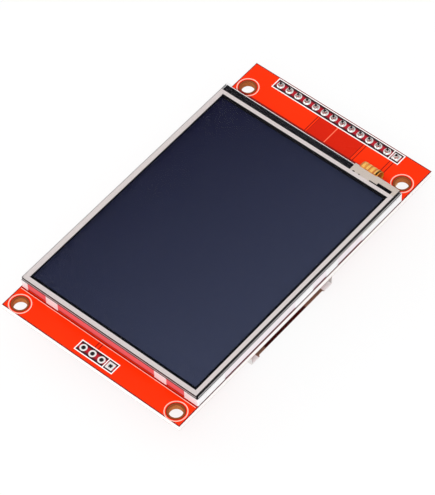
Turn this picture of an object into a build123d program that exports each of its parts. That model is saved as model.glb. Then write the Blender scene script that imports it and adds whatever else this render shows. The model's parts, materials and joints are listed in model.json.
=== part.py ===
from build123d import *
import os

os.makedirs("parts", exist_ok=True)

# Colour display module: a circuit board with a touch display on its front, a pin header
# along one short side and a full-size memory card socket on its back.
#
# Millimetres. The origin is the centre of the four mounting holes on the board's back face.
# +Z points out of the screen, +Y towards the pin header, +X towards the socket's mouth.

# Board
board_w = 50.0
board_l = 86.0
board_t = 1.6
hole_d = 3.2
hole_side = 3.0  # from the holes' centres to the board's long edges
hole_low = 2.5  # from the lower holes' centres to the lower edge
hole_high = 6.75  # from the upper holes' centres to the upper edge
hole_span_x = board_w - 2 * hole_side
hole_span_y = board_l - hole_low - hole_high
board_y0 = -hole_span_y / 2 - hole_low
board_y1 = hole_span_y / 2 + hole_high
board_mid_y = (board_y0 + board_y1) / 2

# Plated holes and their rows
pitch = 2.54
land_d = 1.8
land_t = 0.04
plating_t = 0.05
drill_d = 1.1
hole_sides = 12  # the small holes and lands are drawn with so many flats
header_count = 14
header_to_edge = 1.75  # from the row's centre to the board's upper edge
header_y = board_y1 - header_to_edge
header_x = [(i - (header_count - 1) / 2) * pitch for i in range(header_count)]
card_row_count = 4
card_row_y = -hole_span_y / 2
card_row_x = [(i - (card_row_count - 1) / 2) * pitch for i in range(card_row_count)]

# Header
pin_side = 0.64
pin_reach = 6.0  # below the insulator
pin_tail = 1.05  # above the board's front face
pin_tip = 0.4
pin_tip_angle = 20
insulator_w = 2.5
insulator_h = 2.54
insulator_notch = 0.55
fillet_h = 0.75
fillet_top_d = 0.9
fillet_waist_d = 1.12
fillet_waist_h = 0.26
fillet_margin = 0.05  # bare tin round its foot

# Panel frame, from the board's front face upwards
tape_t = 0.15
tape_w = 7.0
frame_inset = 0.05  # from the board's long edges
frame_low = 6.175  # from the board's lower edge
frame_high = 10.425  # from the board's upper edge
frame_h = 2.26
frame_wall = 0.95
frame_far_wall = 0.9
frame_corner_r = 0.4
recess_depth = 0.12
frame_z = board_t + tape_t
frame_top = frame_z + frame_h
frame_w = board_w - 2 * frame_inset
frame_y0 = board_y0 + frame_low
frame_y1 = board_y1 - frame_high
half_w = frame_w / 2

# Backlight layers
layer_gap = 0.1  # between a sheet's edge and its pocket
ledge_w = 0.6  # the frame's inner step that carries the glass cell
reflector_t = 0.08
guide_t = 0.6
diffuser_t = 0.1
prism_t = 0.12
led_count = 4
led_w = 3.8
led_d = 1.0
led_pitch = 7.6
led_lens = 0.35  # depth of the hollow in front of each lamp
led_lens_w = 2.66
led_lens_angle = 60
led_strip_w = 29.0
led_strip_d = 1.7
bay_gap = 0.5  # from the lamps' strip to the frame

# Glass cell
cell_margin = 0.85  # from the cell's edges to the rear polariser's
cell_low_margin = 1.15
screen_margin = 0.4  # from the cell's edges to the front polariser's
screen_low_margin = 0.75
polariser_t = 0.15
rim_tape_t = 0.12
cell_t = 0.5
cell_shelf = 1.8  # the rear glass beyond the front glass
front_glass_margin = 0.22  # beyond the polariser at the header end
shelf_gap = 0.68  # from the rear glass to the frame's far wall
chip_l = 18.0
chip_w = 0.65
chip_t = 0.3
chip_gap = 0.15
cover_overlap = 0.15

# Touch panel
touch_inset = 0.2  # from the frame's long sides
touch_low = 0.1  # from the frame's lower end
touch_high = 0.2  # from the frame's upper end
touch_tape_t = 0.06
touch_glass_t = 0.84
touch_film_t = 0.175
border_inset = 0.2  # from the touch panel's long sides
border_w = 1.2
border_bar_w = 1.1  # at the header end
border_bar_gap = 2.2  # clear strip beyond that bar
tab_l = 12.45  # the border's tab, measured from its side
film_corner_r = 0.3

# Flexible circuits
flex_t = 0.08
main_flex_w = 20.0
main_flex_x = -2.0
main_flex_run = 13.0  # length lying on the board
bond_l = 0.85
led_tail_w = 1.6
led_tail_in = 2.1  # from the strip's end to the tail's middle
led_tail_run = 6.0
fold_r = 0.3
touch_tail_w = 4.8
touch_tail_side = 9.35  # from the frame's side to the tail's middle
touch_tail_run = 6.0
touch_tail_seat = 0.2
touch_tail_bulge = 2.2  # beyond the frame's end
touch_tail_x = half_w - touch_tail_side
led_tail_x = main_flex_x - led_strip_w / 2 + led_tail_in

# Card socket
socket_l = 25.0
socket_h = 2.8
socket_inset = 0.08  # from the board's edge to the mouth
socket_y = -3.6
shell_t = 0.2
shell_bend_r = 0.35
mouth_notch_side = 2.6  # from the shell's sides to the finger notch
mouth_notch_d = 0.35
card_w = 24.3
card_floor_t = 0.45
card_stop = 4.0
rail_w = 1.35
base_gap = 0.05  # between the base and the shell
base_setback = 1.2  # from the mouth to the base
contact_count = 9
contact_pitch = 2.5
contact_w = 0.9
contact_t = 0.15
contact_foot = 1.2
contact_rise = 1.0
contact_run = 4.5  # lying on the board, from the socket's back
contact_crest = 2.5  # from the spring's highest point to the slot's end
contact_tip = 0.8  # from the spring's tip to the slot's end
contact_tip_h = 0.575
contact_bend_r = 0.4
slot_l = 12.5
slot_gap = 0.2
floor_rib = 2.0
floor_open_w = 16.0
peg_d = 1.0
peg_l = 1.2
peg_side = 2.75  # from the rails' outer faces to the pegs
peg_back = 3.0
peg_gap = 0.05
switch_l = 5.0
switch_back = 6.3  # from the socket's back to the first switch
switch_pitch = 6.3
switch_depth = 0.6
switch_z0 = -1.6
switch_h = 0.9
switch_seat = 0.5  # behind the rail's face
switch_proud = 0.2  # in front of it
tongue_w = 2.2
tongue_l = 7.5
tongue_gap = 0.4
tongue_side = 5.0  # from the shell's sides to the tongues' middle
foot_l = 2.2
foot_w = 1.1
foot_back = 3.0
skirt = 0.35  # between the shell's sides and the board, away from the feet
base_w = card_w + 2 * rail_w
socket_w = base_w + 2 * (base_gap + shell_t)
socket_x1 = board_w / 2 - socket_inset
socket_x0 = socket_x1 - socket_l
socket_mid_x = (socket_x0 + socket_x1) / 2

# Chips and small parts on the back
lead_t = 0.13
lead_w = 0.25
controller_l = 5.0
controller_w = 4.4
controller_h = 1.0
controller_leads = 16
controller_pitch = 0.65
controller_span = 6.4
standoff = 0.1
body_draft = 8
sot_l = 2.9
sot_w = 1.3
sot_h = 1.0
sot_span = 2.4
sot_pitch = 0.95
sot_lead_w = 0.4
chip_part_l = 1.6
chip_part_w = 0.8
cap_h = 0.8
resistor_h = 0.45
end_cap_l = 0.3
end_cap_t = 0.03
place_pitch = 2.4
controller_side = 13.0  # from the board's side to its middle
controller_low = 17.875  # from the header's row to its middle, as are the next two
regulator_low = 15.375
transistor_low = 10.375
regulator_side = 10.5
transistor_x = -1.0
beside_sot = 4.5
beside_controller = 6.5
side_row_gap = 6.15  # from the socket's back to the row beside it
end_row_gap = 6.5  # from the controller's middle to the row below it
controller_x = -board_w / 2 + controller_side
controller_y = header_y - controller_low
regulator_at = (board_w / 2 - regulator_side, header_y - regulator_low)
transistor_at = (transistor_x, header_y - transistor_low)
side_row_x = socket_x0 - side_row_gap
end_row_y = controller_y - end_row_gap
cap_places = [(regulator_at[0] - beside_sot, regulator_at[1]),
              (regulator_at[0] + beside_sot, regulator_at[1]),
              (controller_x - beside_controller, controller_y),
              (controller_x + beside_controller, controller_y)]
side_resistors = [(side_row_x, socket_y + (i - 2) * place_pitch) for i in range(5)]
end_resistors = [(controller_x + (i - 2) * place_pitch, end_row_y) for i in range(5)]
led_resistors = [(transistor_at[0] - beside_sot, transistor_at[1]),
                 (transistor_at[0] + beside_sot, transistor_at[1])]

# Heights and lengths that follow from the sizes above
insulator_top = -land_t
pin_low = insulator_top - insulator_h - pin_reach
pin_high = board_t + pin_tail
reflector_z = frame_z
guide_z = reflector_z + reflector_t
diffuser_z = guide_z + guide_t
prism_z = diffuser_z + diffuser_t
ledge_z = prism_z + prism_t
rear_glass_z = ledge_z + rim_tape_t
front_glass_z = rear_glass_z + cell_t
polariser_z = front_glass_z + cell_t
pocket_w = frame_w - 2 * frame_wall
pocket_y0 = frame_y0 + frame_wall
pocket_y1 = frame_y1 - frame_far_wall
cell_w = pocket_w - 2 * layer_gap
cell_y0 = pocket_y0 + layer_gap
rear_glass_y1 = pocket_y1 - shelf_gap
front_glass_y1 = rear_glass_y1 - cell_shelf
polariser_w = cell_w - 2 * cell_margin
polariser_y0 = cell_y0 + cell_low_margin
polariser_y1 = front_glass_y1 - front_glass_margin
screen_w = cell_w - 2 * screen_margin
screen_y0 = cell_y0 + screen_low_margin
optics_w = pocket_w - 2 * ledge_w
optics_y0 = pocket_y0 + ledge_w
sheet_w = optics_w - 2 * layer_gap
sheet_y0 = optics_y0 + layer_gap
sheet_y1 = polariser_y1
bay_y0 = sheet_y1 + layer_gap
bay_w = led_strip_w + 2 * (abs(main_flex_x) + bay_gap)
touch_glass_z = frame_top + touch_tape_t
border_z = touch_glass_z + touch_glass_t
film_z = border_z + flex_t
touch_w = frame_w - 2 * touch_inset
touch_y0 = frame_y0 + touch_low
touch_y1 = frame_y1 - touch_high
bar_y1 = touch_y1 - border_bar_gap
bar_y0 = bar_y1 - border_bar_w
border_outer_w = touch_w - 2 * border_inset
window_w = border_outer_w - 2 * border_w
window_y0 = touch_y0 + border_w


def sheet(width, y0, y1, z, thickness):
    """A flat layer centred on the panel's long axis."""
    with BuildSketch(Plane.XY.offset(z)) as layer:
        with Locations((0, (y0 + y1) / 2)):
            Rectangle(width, y1 - y0)
    extrude(layer.sketch, amount=thickness)


def window(width, y0, y1, z, thickness):
    """The opening in such a layer."""
    with BuildSketch(Plane.XY.offset(z)) as opening:
        with Locations((0, (y0 + y1) / 2)):
            Rectangle(width, y1 - y0)
    extrude(opening.sketch, amount=thickness, mode=Mode.SUBTRACT)


def patches(boxes, z, thickness, mode=Mode.ADD):
    """Rectangles x0, y0, x1, y1 of one height, added or cut."""
    with BuildSketch(Plane.XY.offset(z)) as plan:
        for x0, y0, x1, y1 in boxes:
            with Locations(((x0 + x1) / 2, (y0 + y1) / 2)):
                Rectangle(x1 - x0, y1 - y0)
    extrude(plan.sketch, amount=thickness, mode=mode)


def plated_row(row_x, row_y, square_x):
    """Tinned holes: a barrel through the board and a land on each face."""
    round_x = [x for x in row_x if x != square_x]
    for z in (-land_t, board_t):
        with BuildSketch(Plane.XY.offset(z)) as lands:
            with Locations([(x, row_y) for x in round_x]):
                RegularPolygon(land_d / 2, hole_sides)
            with Locations((square_x, row_y)):
                Rectangle(land_d, land_d)
        extrude(lands.sketch, amount=land_t)
    with BuildSketch() as barrels:
        with Locations([(x, row_y) for x in row_x]):
            RegularPolygon(drill_d / 2, hole_sides)
    extrude(barrels.sketch, amount=board_t)
    with BuildSketch(Plane.XY.offset(-land_t)) as holes:
        with Locations([(x, row_y) for x in row_x]):
            RegularPolygon(drill_d / 2 - plating_t, hole_sides)
    extrude(holes.sketch, amount=board_t + 2 * land_t, mode=Mode.SUBTRACT)


def folded_flex(points, radius, x, width):
    """A strip of flexible circuit: its mid line in Y and Z, drawn out to its width."""
    with BuildSketch(Plane.YZ.offset(x - width / 2)) as section:
        with BuildLine():
            FilletPolyline(*points, radius=radius)
        trace(line_width=flex_t)
    extrude(section.sketch, amount=width)


def moulded_body(x, y, length, width, height):
    """A chip's package: both halves drawn in from its parting line."""
    middle = -standoff - height / 2
    with BuildSketch(Plane.XY.offset(middle)) as parting:
        with Locations((x, y)):
            Rectangle(length, width)
    for half in (height / 2, -height / 2):
        extrude(parting.sketch, amount=half, taper=body_draft)


def gull_wing(x, y, side, body_w, span, height, width):
    """A lead from the package's side, down to the board and out to its foot."""
    inner = y + side * body_w / 2
    knee = y + side * (body_w / 2 + span / 2) / 2
    toe = y + side * span / 2
    middle = -standoff - height / 2
    foot = -lead_t / 2
    with BuildSketch(Plane.YZ.offset(x - width / 2)) as section:
        with BuildLine():
            Polyline((inner, middle), (knee, middle), (knee + side * lead_t, foot), (toe, foot))
        trace(line_width=lead_t)
    extrude(section.sketch, amount=width)


def chip_part(x, y, height):
    """The ceramic body between a chip part's two end caps."""
    with BuildSketch(Plane.XY.offset(-end_cap_t)) as plan:
        with Locations((x, y)):
            Rectangle(chip_part_l - 2 * end_cap_l, chip_part_w - 2 * end_cap_t)
    extrude(plan.sketch, amount=-(height - 2 * end_cap_t))


def end_caps(x, y, height):
    """The two tinned ends of a chip part."""
    offset_x = (chip_part_l - end_cap_l) / 2
    with BuildSketch() as plan:
        with Locations((x - offset_x, y), (x + offset_x, y)):
            Rectangle(end_cap_l, chip_part_w)
    extrude(plan.sketch, amount=-height)


# Bare board with its mounting holes, the drillings for both rows and the socket's pegs
peg_reach = base_w / 2 - peg_side
peg_places = [(socket_x1 - peg_back, socket_y + side * peg_reach) for side in (-1, 1)]

with BuildPart() as pcb:
    with BuildSketch():
        with Locations((0, board_mid_y)):
            Rectangle(board_w, board_l)
        with GridLocations(hole_span_x, hole_span_y, 2, 2):
            Circle(hole_d / 2, mode=Mode.SUBTRACT)
        with Locations([(x, header_y) for x in header_x]):
            RegularPolygon(drill_d / 2, hole_sides, mode=Mode.SUBTRACT)
        with Locations([(x, card_row_y) for x in card_row_x]):
            RegularPolygon(drill_d / 2, hole_sides, mode=Mode.SUBTRACT)
        with Locations(peg_places):
            Circle(peg_d / 2 + peg_gap, mode=Mode.SUBTRACT)
    extrude(amount=board_t)
pcb.part.label = "pcb"
export_step(pcb.part, "parts/pcb.step")

with BuildPart() as header_pads:
    plated_row(header_x, header_y, header_x[-1])
header_pads.part.label = "header_pads"
export_step(header_pads.part, "parts/header_pads.step")

with BuildPart() as card_row_pads:
    plated_row(card_row_x, card_row_y, card_row_x[-1])
card_row_pads.part.label = "card_row_pads"
export_step(card_row_pads.part, "parts/card_row_pads.step")

# Header: one moulding with a notch between each two ways, and square pointed pins
header_l = header_count * pitch
notch_side = insulator_notch * 2**0.5

with BuildPart() as header_body:
    with BuildSketch(Plane.XY.offset(insulator_top - insulator_h)):
        with Locations((0, header_y)):
            Rectangle(header_l, insulator_w)
            with GridLocations(pitch, insulator_w, header_count + 1, 2):
                Rectangle(notch_side, notch_side, rotation=45, mode=Mode.SUBTRACT)
            with GridLocations(pitch, 0, header_count, 1):
                Rectangle(pin_side, pin_side, mode=Mode.SUBTRACT)
    extrude(amount=insulator_h)
header_body.part.label = "header_body"
export_step(header_body.part, "parts/header_body.step")

with BuildPart() as header_pins:
    with BuildSketch(Plane.XY.offset(pin_low + pin_tip)):
        with Locations([(x, header_y) for x in header_x]):
            Rectangle(pin_side, pin_side)
    extrude(amount=pin_high - pin_low - 2 * pin_tip)
    for z, reach in ((pin_low + pin_tip, -pin_tip), (pin_high - pin_tip, pin_tip)):
        with BuildSketch(Plane.XY.offset(z)):
            with Locations([(x, header_y) for x in header_x]):
                Rectangle(pin_side, pin_side)
        extrude(amount=reach, taper=pin_tip_angle)
header_pins.part.label = "header_pins"
export_step(header_pins.part, "parts/header_pins.step")

# Solder: fills each barrel round its pin and climbs the pin in a hollow cone
barrel_r = drill_d / 2 - plating_t
solder_base = board_t + land_t
solder_top = board_t + fillet_h
solder_waist = board_t + fillet_waist_h
fillet_foot = land_d / 2 - fillet_margin

with BuildPart() as header_solder:
    with BuildSketch(Plane.XY.offset(-land_t)):
        with Locations([(x, header_y) for x in header_x]):
            RegularPolygon(barrel_r, hole_sides)
    extrude(amount=solder_base + land_t)
    for x in header_x:
        for z, radius in ((solder_base, fillet_foot), (solder_waist, fillet_waist_d / 2),
                          (solder_top, fillet_top_d / 2)):
            with BuildSketch(Plane.XY.offset(z)):
                with Locations((x, header_y)):
                    RegularPolygon(radius, hole_sides)
        loft(ruled=True)
    with BuildSketch(Plane.XY.offset(-land_t)):
        with Locations([(x, header_y) for x in header_x]):
            Rectangle(pin_side, pin_side)
    extrude(amount=solder_top + land_t, mode=Mode.SUBTRACT)
header_solder.part.label = "header_solder"
export_step(header_solder.part, "parts/header_solder.step")

# Panel frame: a stepped pocket for the backlight's layers and the glass cell, a bay for the
# lamps and shallow recesses in three outer walls. Each recess is given by where it starts and
# ends, from the frame's lower end or its left side.
side_recesses = [(8.8, 32.3), (38.3, 42.8), (46.8, 55.3)]
end_recesses = [(1.95, 7.25), (10.55, 37.85), (41.15, 46.15)]

with BuildPart() as panel_frame:
    sheet(frame_w, frame_y0, frame_y1, frame_z, frame_h)
    fillet(panel_frame.edges().filter_by(Axis.Z), radius=frame_corner_r)
    window(pocket_w, pocket_y0, pocket_y1, ledge_z, frame_top - ledge_z)
    window(optics_w, optics_y0, bay_y0, frame_z, ledge_z - frame_z)
    window(bay_w, bay_y0, pocket_y1, frame_z, ledge_z - frame_z)
    for side in (-1, 1):
        outer = side * half_w
        inner = outer - side * recess_depth
        x0, x1 = sorted((outer, inner))
        patches([(x0, frame_y0 + near, x1, frame_y0 + far) for near, far in side_recesses],
                frame_z, frame_h, Mode.SUBTRACT)
    patches([(near - half_w, frame_y0, far - half_w, frame_y0 + recess_depth)
             for near, far in end_recesses], frame_z, frame_h, Mode.SUBTRACT)
panel_frame.part.label = "panel_frame"
export_step(panel_frame.part, "parts/panel_frame.step")

# Two strips of tape hold the panel to the board, clear of the flexible circuits
tape_edge = 0.5
tape_end = 2.0
tape_y0 = frame_y0 + tape_end
tape_y1 = frame_y1 - touch_tail_run - tape_end

with BuildPart() as mounting_tapes:
    for side in (-1, 1):
        middle = side * (half_w - tape_w / 2 - tape_edge)
        patches([(middle - tape_w / 2, tape_y0, middle + tape_w / 2, tape_y1)], board_t, tape_t)
mounting_tapes.part.label = "mounting_tapes"
export_step(mounting_tapes.part, "parts/mounting_tapes.step")

# Backlight, from the back forwards
with BuildPart() as reflector_sheet:
    sheet(sheet_w, sheet_y0, sheet_y1, reflector_z, reflector_t)
reflector_sheet.part.label = "reflector_sheet"
export_step(reflector_sheet.part, "parts/reflector_sheet.step")

guide_corner = 1.5

with BuildPart() as light_guide:
    sheet(sheet_w, sheet_y0, sheet_y1, guide_z, guide_t)
    corners = light_guide.edges().filter_by(Axis.Z).group_by(Axis.Y)[-1]
    chamfer(corners, length=guide_corner)
light_guide.part.label = "light_guide"
export_step(light_guide.part, "parts/light_guide.step")

with BuildPart() as diffuser_sheet:
    sheet(sheet_w, sheet_y0, sheet_y1, diffuser_z, diffuser_t)
diffuser_sheet.part.label = "diffuser_sheet"
export_step(diffuser_sheet.part, "parts/diffuser_sheet.step")

with BuildPart() as prism_sheet:
    sheet(sheet_w, sheet_y0, sheet_y1, prism_z, prism_t)
prism_sheet.part.label = "prism_sheet"
export_step(prism_sheet.part, "parts/prism_sheet.step")

# Lamps: each shines through its narrow side into the guide's end
led_y0 = sheet_y1 + layer_gap
led_mid_x = main_flex_x

with BuildPart() as backlight_leds:
    with BuildSketch(Plane.XY.offset(guide_z)):
        with Locations((led_mid_x, led_y0 + led_d / 2)):
            with GridLocations(led_pitch, 0, led_count, 1):
                Rectangle(led_w, led_d)
                with Locations((0, -led_d / 2)):
                    Trapezoid(led_lens_w, led_lens * 2, led_lens_angle, mode=Mode.SUBTRACT)
    extrude(amount=guide_t + diffuser_t)
backlight_leds.part.label = "backlight_leds"
export_step(backlight_leds.part, "parts/backlight_leds.step")

flex_fold_y = rear_glass_y1 + fold_r + flex_t / 2
board_run_z = board_t + flex_t / 2
strip_z = prism_z + flex_t / 2

with BuildPart() as backlight_flex:
    patches([(led_mid_x - led_strip_w / 2, led_y0, led_mid_x + led_strip_w / 2,
              led_y0 + led_strip_d)], prism_z, flex_t)
    folded_flex([(led_y0, strip_z), (flex_fold_y, strip_z), (flex_fold_y, board_run_z),
                 (flex_fold_y - led_tail_run, board_run_z)], fold_r, led_tail_x, led_tail_w)
backlight_flex.part.label = "backlight_flex"
export_step(backlight_flex.part, "parts/backlight_flex.step")

# Glass cell: black tape on the ledge, polarisers, and two glasses of which the rear one
# reaches further and carries the driver chip
with BuildPart() as rim_tape:
    sheet(cell_w, cell_y0, rear_glass_y1, ledge_z, rim_tape_t)
    window(polariser_w + 2 * layer_gap, polariser_y0 - layer_gap, polariser_y1 + layer_gap,
           ledge_z, rim_tape_t)
rim_tape.part.label = "rim_tape"
export_step(rim_tape.part, "parts/rim_tape.step")

with BuildPart() as rear_polariser:
    sheet(polariser_w, polariser_y0, polariser_y1, ledge_z, rim_tape_t)
rear_polariser.part.label = "rear_polariser"
export_step(rear_polariser.part, "parts/rear_polariser.step")

with BuildPart() as rear_glass:
    sheet(cell_w, cell_y0, rear_glass_y1, rear_glass_z, cell_t)
rear_glass.part.label = "rear_glass"
export_step(rear_glass.part, "parts/rear_glass.step")

with BuildPart() as front_glass:
    sheet(cell_w, cell_y0, front_glass_y1, front_glass_z, cell_t)
front_glass.part.label = "front_glass"
export_step(front_glass.part, "parts/front_glass.step")

with BuildPart() as front_polariser:
    sheet(screen_w, screen_y0, polariser_y1, polariser_z, polariser_t)
front_polariser.part.label = "front_polariser"
export_step(front_polariser.part, "parts/front_polariser.step")

chip_y0 = front_glass_y1 + chip_gap

with BuildPart() as driver_chip:
    patches([(main_flex_x - chip_l / 2, chip_y0, main_flex_x + chip_l / 2, chip_y0 + chip_w)],
            front_glass_z, chip_t)
driver_chip.part.label = "driver_chip"
export_step(driver_chip.part, "parts/driver_chip.step")

# The black strip bridges the shelf, from the front glass to the frame's far wall
cover_y1 = pocket_y1 - layer_gap
cover_top = polariser_z + flex_t

with BuildPart() as driver_cover:
    sheet(cell_w, polariser_y1 + cover_overlap, cover_y1, polariser_z, flex_t)
driver_cover.part.label = "driver_cover"
export_step(driver_cover.part, "parts/driver_cover.step")

shelf_run_z = front_glass_z + flex_t / 2

with BuildPart() as main_flex:
    folded_flex([(rear_glass_y1 - bond_l, shelf_run_z), (flex_fold_y, shelf_run_z),
                 (flex_fold_y, board_run_z), (flex_fold_y - main_flex_run, board_run_z)],
                fold_r, main_flex_x, main_flex_w)
main_flex.part.label = "main_flex"
export_step(main_flex.part, "parts/main_flex.step")

# Touch panel: black tape, thicker over the driver's cover, then glass, silver border with its
# tab, film, and the tail that leaves between glass and film, bulges past the frame's end and
# returns under the panel
tail_x0 = touch_tail_x - touch_tail_w / 2
tail_x1 = touch_tail_x + touch_tail_w / 2
tail_y = frame_y1 + touch_tail_bulge
tail_z = border_z + flex_t / 2
bend_slack = 0.01
tail_r = (tail_z - board_run_z) / 2 - bend_slack
tab_x1 = border_outer_w / 2
tab_x0 = tab_x1 - tab_l
gap_spans = [(1.25, 5.15, 0.9), (5.15, 7.15, 0.35), (9.75, 10.15, 0.25), (11.15, 11.75, 0.3)]
tab_gaps = [(tab_x1 - far, bar_y1, tab_x1 - near, bar_y1 + depth)
            for near, far, depth in gap_spans]

with BuildPart() as touch_tape:
    sheet(touch_w, touch_y0, touch_y1, frame_top, touch_tape_t)
    window(pocket_w, pocket_y0, front_glass_y1, frame_top, touch_tape_t)
    sheet(cell_w, front_glass_y1, cover_y1, cover_top, frame_top - cover_top)
touch_tape.part.label = "touch_tape"
export_step(touch_tape.part, "parts/touch_tape.step")

with BuildPart() as touch_glass:
    sheet(touch_w, touch_y0, touch_y1, touch_glass_z, touch_glass_t)
    fillet(touch_glass.edges().filter_by(Axis.Z), radius=film_corner_r)
touch_glass.part.label = "touch_glass"
export_step(touch_glass.part, "parts/touch_glass.step")

with BuildPart() as touch_border:
    sheet(border_outer_w, touch_y0, bar_y1, border_z, flex_t)
    window(window_w, window_y0, bar_y0, border_z, flex_t)
    patches([(tab_x0, bar_y1, tab_x1, touch_y1)], border_z, flex_t)
    patches(tab_gaps, border_z, flex_t, Mode.SUBTRACT)
    patches([(tail_x0, touch_y1 - touch_tail_seat, tail_x1, touch_y1)],
            border_z, flex_t, Mode.SUBTRACT)
touch_border.part.label = "touch_border"
export_step(touch_border.part, "parts/touch_border.step")

with BuildPart() as touch_film:
    sheet(touch_w, touch_y0, touch_y1, film_z, touch_film_t)
    fillet(touch_film.edges().filter_by(Axis.Z), radius=film_corner_r)
touch_film.part.label = "touch_film"
export_step(touch_film.part, "parts/touch_film.step")

with BuildPart() as touch_flex:
    folded_flex([(touch_y1 - touch_tail_seat, tail_z), (tail_y, tail_z),
                 (tail_y, board_run_z), (frame_y1 - touch_tail_run, board_run_z)],
                tail_r, touch_tail_x, touch_tail_w)
touch_flex.part.label = "touch_flex"
export_step(touch_flex.part, "parts/touch_flex.step")

# Card socket. Base: a floor on the board, two rails, a stop and a slot for each contact
base_h = socket_h - shell_t
base_front = socket_x1 - base_setback
contact_y = [socket_y + (i - (contact_count - 1) / 2) * contact_pitch for i in range(contact_count)]
slot_w = contact_w + 2 * slot_gap
slot_x1 = socket_x0 + slot_l
switch_y = socket_y + card_w / 2
switch_x = [socket_x0 + switch_back + i * switch_pitch for i in range(2)]
switch_room_x1 = switch_x[-1] + switch_l + 2 * slot_gap

with BuildPart() as socket_base:
    patches([(socket_x0, socket_y - base_w / 2, base_front, socket_y + base_w / 2)],
            -base_h, base_h)
    patches([(socket_x0 + card_stop, socket_y - card_w / 2, base_front, socket_y + card_w / 2)],
            -base_h, base_h - card_floor_t, Mode.SUBTRACT)
    patches([(socket_x0, y - slot_w / 2, slot_x1, y + slot_w / 2) for y in contact_y],
            -card_floor_t, card_floor_t, Mode.SUBTRACT)
    patches([(slot_x1 + floor_rib, socket_y - floor_open_w / 2,
              base_front, socket_y + floor_open_w / 2)],
            -card_floor_t, card_floor_t, Mode.SUBTRACT)
    patches([(switch_x[0] - slot_gap, switch_y, switch_room_x1, switch_y + switch_depth)],
            -base_h, base_h - card_floor_t, Mode.SUBTRACT)
    with BuildSketch():
        with Locations(peg_places):
            Circle(peg_d / 2)
    extrude(amount=peg_l)
socket_base.part.label = "socket_base"
export_step(socket_base.part, "parts/socket_base.step")

# Shell: folded sheet, open at the front and back, with a finger notch over the mouth, two
# spring tongues, two windows and four soldering feet
mouth_notch_w = socket_w - 2 * mouth_notch_side
mouth_notch_angle = 60
tongue_places = [socket_y + side * (socket_w / 2 - tongue_side) for side in (-1, 1)]
foot_x = [socket_x1 - foot_back, socket_x0 + foot_back]
foot_lap = 0.1  # the feet's uprights run so far up into the sides

with BuildPart() as socket_shell:
    patches([(socket_x0, socket_y - socket_w / 2, socket_x1, socket_y + socket_w / 2)],
            -socket_h, socket_h - skirt)
    fold_edges = socket_shell.edges().filter_by(Axis.X).group_by(Axis.Z)[0]
    fillet(fold_edges, radius=shell_bend_r)
    patches([(socket_x0, socket_y - socket_w / 2 + shell_t,
              socket_x1, socket_y + socket_w / 2 - shell_t)],
            -socket_h + shell_t, socket_h, Mode.SUBTRACT)
    with BuildSketch(Plane.XY.offset(-socket_h)):
        with Locations((socket_x1, socket_y)):
            Trapezoid(mouth_notch_w, mouth_notch_d * 2, mouth_notch_angle, rotation=90)
    extrude(amount=shell_t, mode=Mode.SUBTRACT)
    for y in tongue_places:
        x0 = socket_mid_x - tongue_l / 2
        x1 = socket_mid_x + tongue_l / 2
        patches([(x0, y - tongue_w / 2 - tongue_gap, x1, y + tongue_w / 2 + tongue_gap)],
                -socket_h, shell_t, Mode.SUBTRACT)
        patches([(x0, y - tongue_w / 2, x1 - tongue_gap, y + tongue_w / 2)], -socket_h, shell_t)
    for x in foot_x:
        for side in (-1, 1):
            wall_y = socket_y + side * (socket_w / 2 - shell_t / 2)
            foot_y = socket_y + side * (socket_w / 2 + foot_w / 2 - shell_t)
            patches([(x - foot_l / 2, wall_y - shell_t / 2, x + foot_l / 2, wall_y + shell_t / 2)],
                    -skirt - foot_lap, skirt + foot_lap)
            patches([(x - foot_l / 2, foot_y - foot_w / 2, x + foot_l / 2, foot_y + foot_w / 2)],
                    -shell_t, shell_t)
socket_shell.part.label = "socket_shell"
export_step(socket_shell.part, "parts/socket_shell.step")

# Contacts: a foot behind the socket, a flat run in the slot and a spring that rises to the card
contact_z = -contact_t / 2

with BuildPart() as socket_contacts:
    for y in contact_y:
        with BuildSketch(Plane.XZ.offset(-(y + contact_w / 2))):
            with BuildLine():
                FilletPolyline((socket_x0 - contact_foot, contact_z),
                               (socket_x0 + contact_run, contact_z),
                               (slot_x1 - contact_crest, -contact_rise),
                               (slot_x1 - contact_tip, -contact_tip_h),
                               radius=contact_bend_r)
            trace(line_width=contact_t)
        extrude(amount=contact_w)
socket_contacts.part.label = "socket_contacts"
export_step(socket_contacts.part, "parts/socket_contacts.step")

# Two leaf switches in the rail, for card present and for write protect
with BuildPart() as socket_switches:
    for x0 in switch_x:
        with BuildSketch(Plane.XY.offset(switch_z0)):
            with BuildLine():
                FilletPolyline((x0, switch_y + switch_seat),
                               (x0 + switch_l / 2, switch_y - switch_proud),
                               (x0 + switch_l, switch_y + switch_seat), radius=switch_seat)
            trace(line_width=contact_t)
        extrude(amount=switch_h)
socket_switches.part.label = "socket_switches"
export_step(socket_switches.part, "parts/socket_switches.step")

# Touch controller and its leads
with BuildPart() as touch_controller:
    moulded_body(controller_x, controller_y, controller_l, controller_w, controller_h)
touch_controller.part.label = "touch_controller"
export_step(touch_controller.part, "parts/touch_controller.step")

per_side = controller_leads // 2
lead_x = [controller_x + (i - (per_side - 1) / 2) * controller_pitch for i in range(per_side)]

with BuildPart() as touch_controller_leads:
    for side in (-1, 1):
        for x in lead_x:
            gull_wing(x, controller_y, side, controller_w, controller_span, controller_h, lead_w)
touch_controller_leads.part.label = "touch_controller_leads"
export_step(touch_controller_leads.part, "parts/touch_controller_leads.step")

# Regulator and backlight transistor: three-lead packages
with BuildPart() as regulator:
    moulded_body(*regulator_at, sot_l, sot_w, sot_h)
regulator.part.label = "regulator"
export_step(regulator.part, "parts/regulator.step")

with BuildPart() as regulator_leads:
    x, y = regulator_at
    gull_wing(x, y, 1, sot_w, sot_span, sot_h, sot_lead_w)
    for side in (-1, 1):
        gull_wing(x + side * sot_pitch, y, -1, sot_w, sot_span, sot_h, sot_lead_w)
regulator_leads.part.label = "regulator_leads"
export_step(regulator_leads.part, "parts/regulator_leads.step")

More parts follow.
